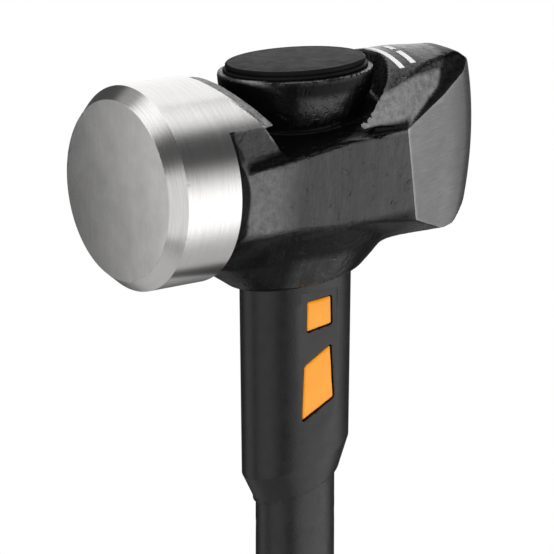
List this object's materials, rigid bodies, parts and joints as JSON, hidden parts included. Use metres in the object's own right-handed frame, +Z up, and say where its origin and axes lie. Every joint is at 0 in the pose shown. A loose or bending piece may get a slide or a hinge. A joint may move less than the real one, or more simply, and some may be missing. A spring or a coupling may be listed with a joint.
{
  "type": "sledge hammer",
  "caption": "Sledge hammer with a forged head, a round striking face and a blunt driving wedge, on a layered shock-absorbing oval handle with a windowed neck collar and a rubber grip.",
  "frame": {"origin": "centre of the flat butt end of the handle", "axes": "+Z up the handle to the head, +X towards the wedge, -X out of the round striking face"},
  "size_m": [0.1681, 0.08, 0.914],
  "materials": {
    "forged_head": "forged steel, black lacquer, ground bright on the striking cylinder and brushed grey on the wedge cheeks",
    "bright_steel": "turned and brushed bright steel of the striking cylinder",
    "ground_steel": "coarse ground dark steel of the wedge cheeks and nose",
    "white_marking": "matt white printed bars",
    "cap_plastic": "fine satin moulded black",
    "plate_steel": "zinc plated steel plate",
    "bonding_compound": "cast epoxy",
    "core_steel": "drawn steel bar",
    "damping_elastomer": "soft foam elastomer",
    "shaft_plastic": "moulded charcoal shell with a fine grain",
    "orange_elastomer": "smooth orange elastomer",
    "collar_plastic": "moulded charcoal plastic with a fine grain",
    "grip_rubber": "soft ribbed rubber",
    "butt_plastic": "tough moulded rubber"
  },
  "bodies": {
    "root": {"hammer_head": "forged_head", "eye_cap": "cap_plastic", "retaining_plate": "plate_steel", "eye_filler": "bonding_compound", "core_rod": "core_steel", "damping_layer": "damping_elastomer", "handle_shell": "shaft_plastic", "shock_sleeve": "orange_elastomer", "neck_collar": "collar_plastic", "grip_sleeve": "grip_rubber", "butt_cap": "butt_plastic"}
  },
  "joints": []
}
